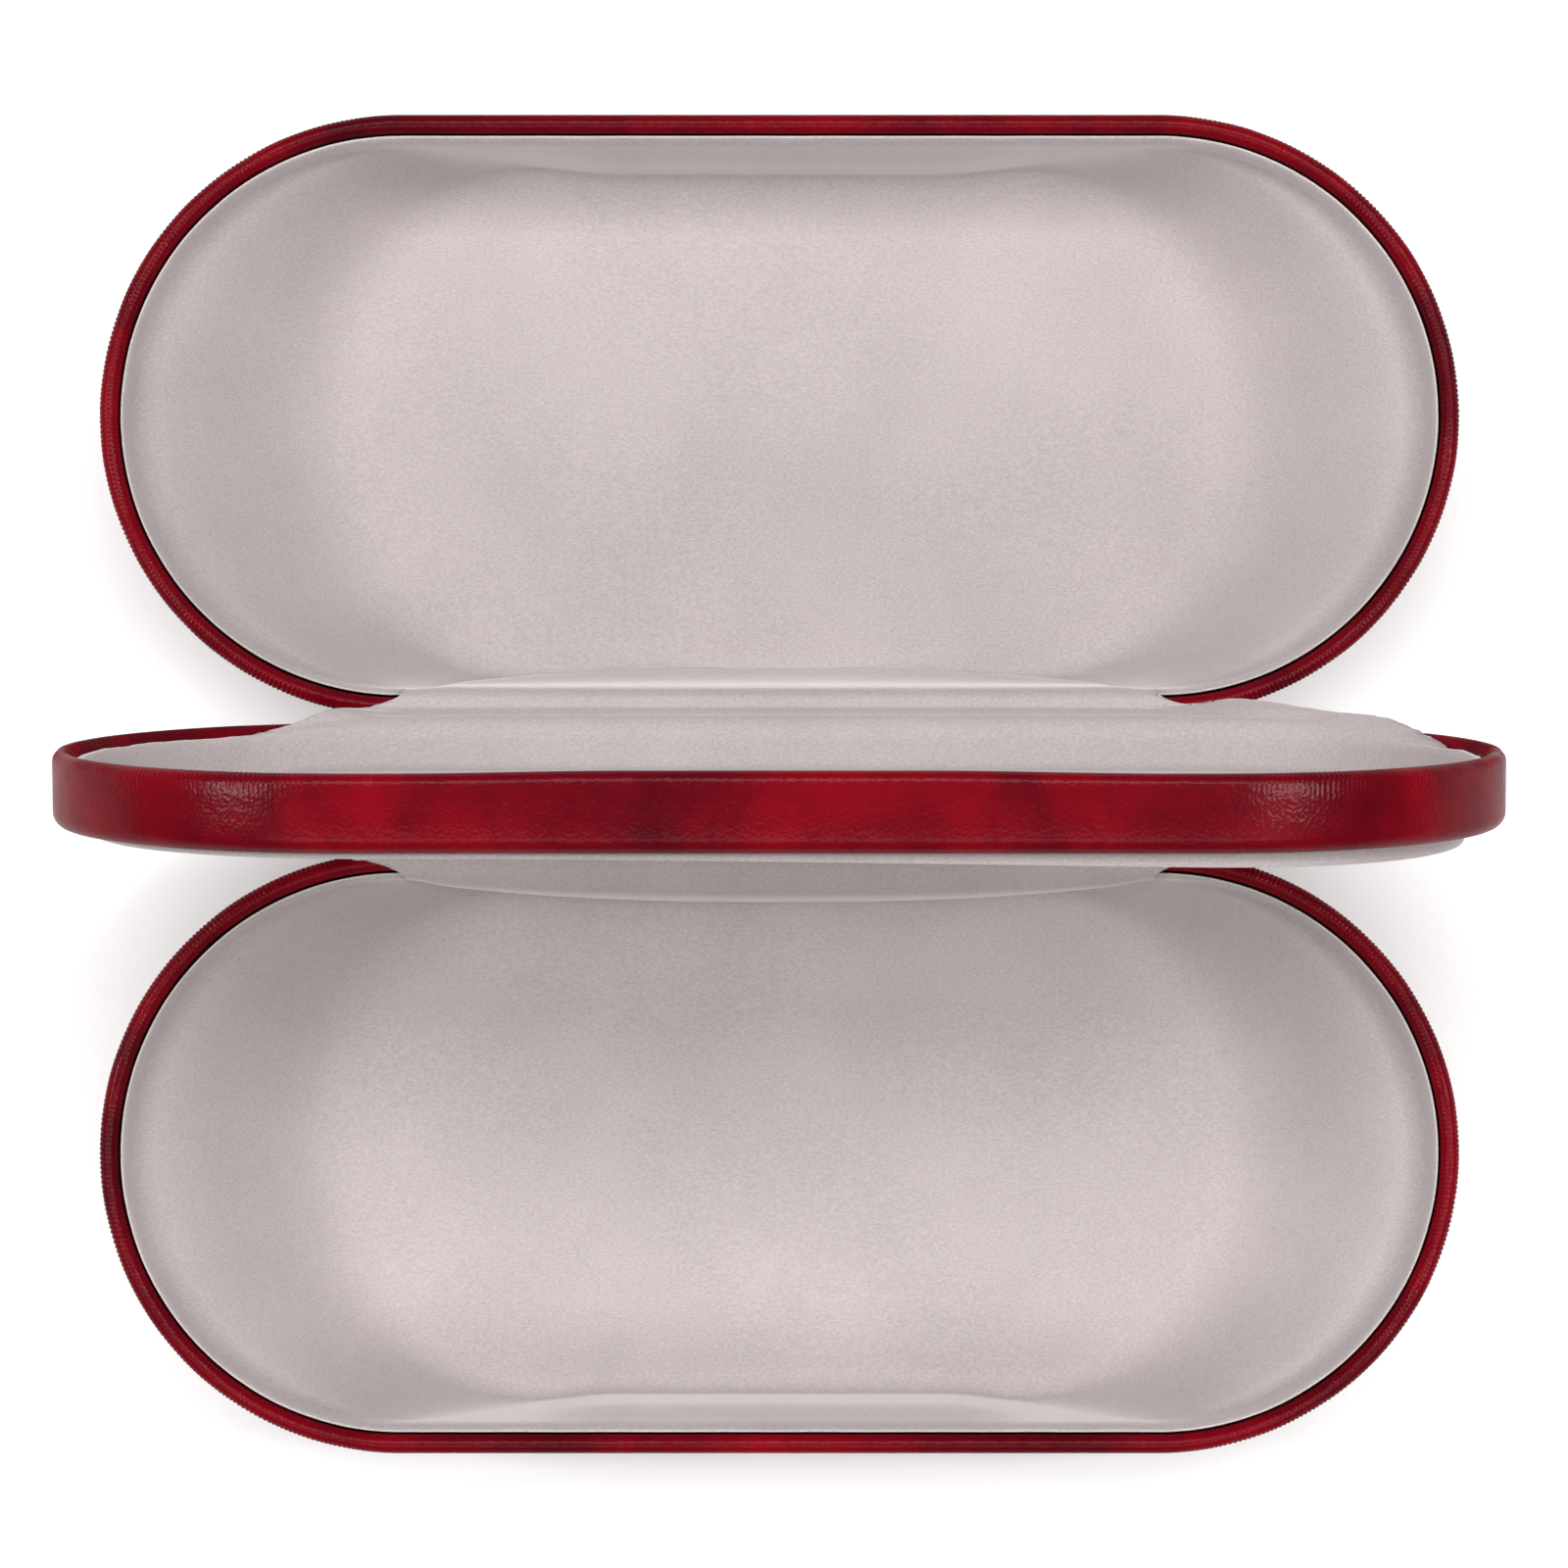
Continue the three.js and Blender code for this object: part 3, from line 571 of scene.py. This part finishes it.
def make_lid_lining(side, place, seed):
    floor = lid_level(LINING_INNER, LINING_INNER, LINING_CORNER, END_RAMP)
    edge = DEPTH - LINING_EDGE
    inner = [*floor_rings(floor, (MIDDLE, 0.3, 0.6, 0.85, 0.95)),
             *lid_walls(LINING_INNER, 24, LINING_CORNER, END_RAMP)]
    inner += [lid_level(LINING_INNER - 0.04, edge - 1.2), lid_level(LINING_OUTER + 0.3, edge - 0.3)]
    lip = [lid_level(LINING_OUTER + 0.16, edge - 0.06), lid_level(LINING_OUTER + 0.1, edge),
           lid_level(LINING_OUTER - 0.06, edge), lid_level(LINING_OUTER - 0.1, edge - 0.12)]
    outer = [lid_level(LINING_OUTER, edge - 2), *lid_walls(LINING_BACK, 12, LINING_CORNER, END_RAMP)[::-1]]
    outer += floor_rings(lid_level(LINING_BACK, LINING_BACK, LINING_CORNER, END_RAMP), (0.5, MIDDLE))
    points = stack(LINING_PLAN, [*inner, *lip, *outer])
    first = len(inner)
    ragged(points, range(first, first + 4), seed)
    thumb_dent(points, LINING_DENT)
    x, y = points[..., 0], points[..., 1]
    on_floor = smooth(LINING_INNER + 0.6, LINING_INNER, points[..., 2])
    unevenness = waves(x + 0.6 * y, seed, 3, 0.05) + waves(y, seed + 3, 3, 0.09)
    points[..., 2] += on_floor * FLOOR_WAVES * unevenness
    faces, owners = capped_faces(len(points), LINING_PLAN.count)
    indices = [int(first <= row < first + 3) for row in owners]
    made = make_object(f"{side}_lining_cloth", place(points).reshape(-1, 3),
                       [face[::-1] for face in faces], [FLOCK, CUT_EDGE], indices)
    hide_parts(f"{side}_lid_lining")
    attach(made, f"{side}_lid")
    return made


def make_tray_lining():
    edge = TRAY_DEPTH - TRAY_LINING_EDGE
    face = RADIUS - LINING_INNER
    back = RADIUS - LINING_OUTER
    bevel = 0.12
    inner = [(radius, TRAY_FLOOR) for radius in face * np.array([MIDDLE, 0.3, 0.6, 0.85, 0.95])]
    for angle in np.linspace(math.pi / 2, 0, 5):
        inner.append((face - TRAY_CORNER + TRAY_CORNER * math.cos(angle),
                      TRAY_FLOOR + TRAY_CORNER - TRAY_CORNER * math.sin(angle)))
    inner.append((face, edge - 1))
    lip = [(face, edge - bevel), (face + bevel, edge), (back - bevel, edge), (back, edge - bevel)]
    outer = [(back, 3.2), (back - 1, 2.0), (back * 0.5, TRAY_LINING_BACK), (0.1, TRAY_LINING_BACK)]
    levels = [(radius, HALF_STRAIGHT, z) for radius, z in [*inner, *lip, *outer]]
    points = stack(LINING_PLAN, levels)
    first = len(inner)
    ragged(points, range(first, first + 4), 77)
    faces, owners = capped_faces(len(points), LINING_PLAN.count)
    indices = [int(first <= row < first + 3) for row in owners]
    made = make_object("tray_lining_cloth", place_tray(points).reshape(-1, 3),
                       [face[::-1] for face in faces], [FLOCK, CUT_EDGE], indices)
    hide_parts("tray_lining")
    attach(made, "tray")
    return made


def make_back_lining():
    """The crowned, cloth-covered plate on the tray's underside, its cloth turned round the edge."""
    radius = RADIUS - PLATE_INSET
    levels = [(radius * share, HALF_STRAIGHT, PLATE_FACE - PLATE_CROWN * (1 - share**2))
              for share in (MIDDLE, 0.3, 0.6, 0.85, 0.97)]
    for angle in np.linspace(0, math.pi, 6)[1:]:
        levels.append((radius + PLATE_EDGE * math.sin(angle), HALF_STRAIGHT,
                       PLATE_FACE + PLATE_EDGE - PLATE_EDGE * math.cos(angle)))
    levels += [(radius * share, HALF_STRAIGHT, PLATE_BACK) for share in (0.5, MIDDLE)]
    points = stack(LINING_PLAN, levels)
    lifted = smooth(-40, 75, points[..., 0]) * smooth(-36, 30, -points[..., 1])
    points[..., 2] -= PLATE_LIFT * lifted * smooth(-0.2, -0.7, points[..., 2])
    faces, _ = capped_faces(len(points), LINING_PLAN.count)
    made = make_object("tray_back_cloth", place_tray(points).reshape(-1, 3), faces, [FLOCK])
    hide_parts("tray_back_lining")
    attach(made, "tray")
    return made


# ---- Cloth and leather over the hinges ----
def behind(inset, x):
    """Distance from the straight rear face, at x, to a line that runs inset inside the case's outline."""
    past = max(abs(x) - HALF_STRAIGHT, 0)
    radius = max(RADIUS - inset, past + 0.2)
    return RADIUS - math.sqrt(radius**2 - past**2)


def on_lower_lid(inset, z, x):
    return np.array([x, -REAR_EDGE - behind(inset, x), z])


def on_upper_lid(inset, z, x):
    return np.array([x, REAR_EDGE + behind(inset, x), z])


def on_tray(inset, through, x):
    y, z = tray_point(behind(inset, x), through)
    return np.array([x, y, z])


def bridge_surface(stations, rows, columns):
    """A grid of points through stations that cross the hinge.

    A station is (place, a, b, half widths to the left and right, what is added to a and b at the sides,
    what is added to them in the middle). a and b are what place takes: how far inside the outline,
    and a height on a lid or a way through the tray's depth.
    """
    grid = np.zeros((rows, columns, 3))
    for column, across in enumerate(np.linspace(-1, 1, columns)):
        beside = float(smooth(0.87, 1, abs(across)))
        central = 1 - abs(across) ** 2.5
        line = []
        for place, a, b, (left, right), at_side, in_middle in stations:
            x = across * (left if across < 0 else right)
            line.append(place(a + at_side[0] * beside + in_middle[0] * central,
                              b + at_side[1] * beside + in_middle[1] * central, x))
        grid[:, column] = spline(line, rows)
    return grid


def sheet_mesh(name, grid, thickness, materials):
    """A closed sheet round a grid of points, its cut edges in the last material."""
    rows, columns = grid.shape[:2]
    along = np.gradient(grid, axis=0)
    across = np.gradient(grid, axis=1)
    normal = np.cross(across, along)
    normal /= np.linalg.norm(normal, axis=2)[..., None]
    sides = [grid + normal * thickness / 2, grid - normal * thickness / 2]
    points = np.concatenate([side.reshape(-1, 3) for side in sides])
    top, _ = grid_faces(rows, columns, closed_columns=False)
    count = rows * columns
    faces = [face[::-1] for face in top] + [tuple(count + corner for corner in face) for face in top]
    indices = [0] * len(faces)
    border = [*range(columns), *(row * columns + columns - 1 for row in range(1, rows))]
    border += [(rows - 1) * columns + column for column in range(columns - 2, -1, -1)]
    border += [row * columns for row in range(rows - 2, 0, -1)]
    for a, b in zip(border, border[1:] + border[:1]):
        faces.append((a, b, count + b, count + a))
        indices.append(len(materials) - 1)
    return make_object(name, points, faces, materials, indices)


def fray(grid, amount, seed):
    """Uneven side edges."""
    rows, columns = grid.shape[:2]
    at = np.arange(rows, dtype=float)
    share = np.clip((np.abs(np.linspace(-1, 1, columns)) - 0.96) / 0.04, 0, 1)
    right = np.linspace(-1, 1, columns) > 0
    for is_right, each in ((True, seed), (False, seed + 5)):
        wander = amount * waves(at, each, 5, 0.55)
        grid[..., 0] += wander[:, None] * share * (right == is_right)


def finish_bridge(made, start, end, node):
    """Hides the CAD node that the piece stands for and bakes its transform into its points; start and end, each a
    (y, z), are turned into metres and go no further.
    """
    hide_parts(node)
    first, last = (tuple(c * MM for c in (0, *point)) for point in (start, end))
    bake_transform(made)
    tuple(first)
    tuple(last)


def make_lower_apron():
    stations = [
        (on_lower_lid, 2.8, 21.3, (42, 41), (-0.2, 0), (3.4, -18.7)),
        (on_lower_lid, AT_WALL + 0.1, 22.0, (42.5, 41.5), (-0.5, 0), (2.6, -18.2)),
        (on_lower_lid, AT_WALL + 0.1, 23.8, (44.5, 44.5), (-0.4, 0), (2.6, -9)),
        (on_lower_lid, AT_WALL - 0.1, 25.6, (45.8, 45.8), (-0.3, 0), (1.9, -2.4)),
        (on_lower_lid, 2.4, 27.3, (46, 46), (0, -0.1), (0.2, -0.4)),
        (on_lower_lid, 1.0, 27.75, (49.5, 49), (0, -0.3), (0, -0.3)),
        (on_lower_lid, 0.1, 28.3, (52, 51), (0, -0.6), (0, 0)),
        (on_tray, 0.5, -4.6, (53, 52), (0, 0), (0, 0.2)),
        (on_tray, 1.3, -2.3, (53, 52), (0, 0), (0, 0.2)),
        (on_tray, 2.2, -0.8, (53, 52), (0, 0), (0, 0)),
        (on_tray, 4.2, -0.35, (53, 52), (0, 0.3), (0, 0)),
        (on_tray, 8.0, -0.15, (50, 50), (0, 0.3), (0, 0)),
    ]
    grid = bridge_surface(stations, 120, 120)
    fray(grid, FRAY, 3)
    made = sheet_mesh("lower_hinge_cloth", grid, CLOTH_THICK, [FLOCK, CUT_EDGE])
    finish_bridge(made, (-8.4, 27.0), (-2.2, 30.4),
                  "lower_lining_apron")
    return made


def make_upper_apron():
    stations = [
        (on_upper_lid, 2.8, 21.3, (43, 41), (-0.2, 0), (3.9, -18.7)),
        (on_upper_lid, AT_WALL + 0.1, 22.0, (43.5, 42), (-0.5, 0), (2.5, -18.4)),
        (on_upper_lid, AT_WALL + 0.1, 24.0, (45, 44.5), (-0.4, 0), (0.7, -13)),
        (on_upper_lid, AT_WALL - 0.1, 25.8, (45.8, 45.8), (-0.3, 0), (0.1, -2)),
        (on_upper_lid, 2.4, 27.3, (46, 46), (0, -0.1), (0, -0.2)),
        (on_upper_lid, 1.1, 27.75, (49, 50), (0, -0.3), (0, -0.3)),
        (on_upper_lid, 0.5, 28.3, (50.5, 56), (0, -0.4), (0, 0)),
        (on_tray, 0.2, 9.2, (53, 66), (0, 1.1), (0, 0.2)),
        (on_tray, 1.4, 9.3, (55, 72), (0, 0.7), (0, 0.15)),
        (on_tray, 2.6, 8.7, (60, 76.5), (0, -0.4), (0, 0)),
        (on_tray, 3.4, 7.4, (67, 78), (-0.5, -0.5), (0, 0)),
        (on_tray, 3.6, 5.4, (67, 77), (-0.8, 0), (0, 0)),
        (on_tray, 4.2, 3.7, (66, 75), (-0.9, -0.6), (0, 0)),
        (on_tray, 6.4, 2.95, (62, 70), (0, -0.8), (0, 0)),
        (on_tray, 14.0, 2.45, (54, 60), (0, -0.5), (0, 0)),
    ]
    grid = bridge_surface(stations, 150, 150)
    fray(grid, FRAY, 6)
    made = sheet_mesh("upper_hinge_cloth", grid[:, ::-1], CLOTH_THICK, [FLOCK, CUT_EDGE])
    finish_bridge(made, (7.4, 30.8), (9.6, 27.6),
                  "upper_lining_apron")
    return made


def on_cover(z):
    """Depth of a strap's middle inside a lid's rear face when it lies just proud of the cover."""
    return DRAFT * (DEPTH - z) / DEPTH - 0.1 + STRAP_THICK / 2


def make_spine_straps():
    both = (STRAP_HALF, STRAP_HALF)
    still = (0, 0)
    lower = [
        (on_lower_lid, on_cover(10) + 0.5, 10, both, (0.4, 0), still),
        (on_lower_lid, on_cover(15), 15, both, (0.4, 0), still),
        (on_lower_lid, on_cover(20), 20, both, (0.3, 0), still),
        (on_lower_lid, -0.9, 22.4, both, still, still),
        (on_lower_lid, -3.6, 22.4, both, still, still),
        (on_tray, -5.2, -1.0, both, still, still),
        (on_tray, -3.0, 0.6, both, still, still),
        (on_tray, -0.9, 1.2, both, still, still),
        (on_tray, -0.15, 2.4, both, (0.3, 0), still),
        (on_tray, 0.1, 4.5, both, (0.3, 0), still),
    ]
    upper = [
        (on_tray, 0.1, 4.4, both, (0.3, 0), still),
        (on_tray, -0.15, 5.6, both, (0.3, 0), still),
        (on_tray, -1.9, 6.3, both, still, still),
        (on_upper_lid, -2.2, 26.2, both, still, still),
        (on_upper_lid, -0.7, 24.8, both, still, still),
        (on_upper_lid, on_cover(20), 20, both, (0.3, 0), still),
        (on_upper_lid, on_cover(15), 15, both, (0.4, 0), still),
        (on_upper_lid, on_cover(10) + 0.5, 10, both, (0.4, 0), still),
    ]
    first = sheet_mesh("lower_spine_leather", bridge_surface(lower, 70, 80), STRAP_THICK, [LEATHERETTE])
    finish_bridge(first, (-7.0, 20.5), (0.4, 28.2), "lower_spine_strap")
    second = sheet_mesh("upper_spine_leather", bridge_surface(upper, 70, 80), STRAP_THICK, [LEATHERETTE])
    finish_bridge(second, (4.4, 28.4), (7.6, 23.4), "upper_spine_strap")
    return first, second


# ---- Stage, light and camera ----
CAMERA_HEIGHT = 654  # above the lids' rims
CAMERA_ASIDE = 0.55
LIGHT_TARGET = Vector((0, 0, 0.03))


def make_camera():
    """Straight down on the open case, so far away that the standing tray looks only a little larger."""
    data = bpy.data.cameras.new("camera")
    data.lens = 124.0
    data.sensor_width = 36.0
    data.clip_end = 20.0
    camera = bpy.data.objects.new("camera", data)
    camera.location = (CAMERA_ASIDE * MM, 0, (DEPTH + CAMERA_HEIGHT) * MM)
    bpy.context.scene.collection.objects.link(camera)
    bpy.context.scene.camera = camera


def make_floor():
    made, nodes, links, shader = new_material("pale_floor")
    where = object_coordinates(nodes)
    grain = noise(nodes, links, where, 30, 2)
    colour = colour_ramp(nodes, links, grain, [(0.3, (0.95, 0.95, 0.95)), (0.7, (0.97, 0.97, 0.97))])
    links.new(colour, shader.inputs["Base Color"])
    shader.inputs["Roughness"].default_value = 0.8
    mesh = bpy.data.meshes.new("floor")
    reach = 3.0
    square = [(-reach, -reach, 0), (reach, -reach, 0), (reach, reach, 0), (-reach, reach, 0)]
    mesh.from_pydata(square, [], [(0, 1, 2, 3)])
    mesh.materials.append(made)
    floor = bpy.data.objects.new("floor", mesh)
    floor.location.z = -0.0002
    bpy.context.scene.collection.objects.link(floor)


def make_light(name, place, size, watts):
    data = bpy.data.lights.new(name, "AREA")
    data.shape = "RECTANGLE"
    data.size, data.size_y = size
    data.energy = watts
    light = bpy.data.objects.new(name, data)
    light.location = place
    light.rotation_mode = "QUATERNION"
    light.rotation_quaternion = (LIGHT_TARGET - Vector(place)).to_track_quat("-Z", "Y")
    bpy.context.scene.collection.objects.link(light)


def make_lights():
    world = bpy.data.worlds.new("world")
    world.use_nodes = True
    world.node_tree.nodes["Background"].inputs["Color"].default_value = (1, 1, 1, 1)
    world.node_tree.nodes["Background"].inputs["Strength"].default_value = 0.36
    bpy.context.scene.world = world
    make_light("softbox_left", (-0.85, 0.05, 0.85), (0.22, 0.3), 5)
    make_light("softbox_right", (0.62, 0.02, 0.95), (0.18, 0.3), 4.2)
    make_light("softbox_back", (0, 0.42, 1.25), (1.6, 0.35), 13)
    make_light("softbox_front", (0, -0.55, 1.15), (1.6, 0.35), 5.5)
    bpy.context.scene.view_settings.view_transform = "Standard"


make_camera()
make_floor()
make_lights()
dress_cad_nodes()
make_lid_cover("lower", place_lower_lid, 11)
make_lid_cover("upper", place_upper_lid, 21)
make_tray_cover()
make_lid_lining("lower", place_lower_lid, 41)
make_lid_lining("upper", place_upper_lid, 51)
make_tray_lining()
make_back_lining()
make_lower_apron()
make_upper_apron()
make_spine_straps()
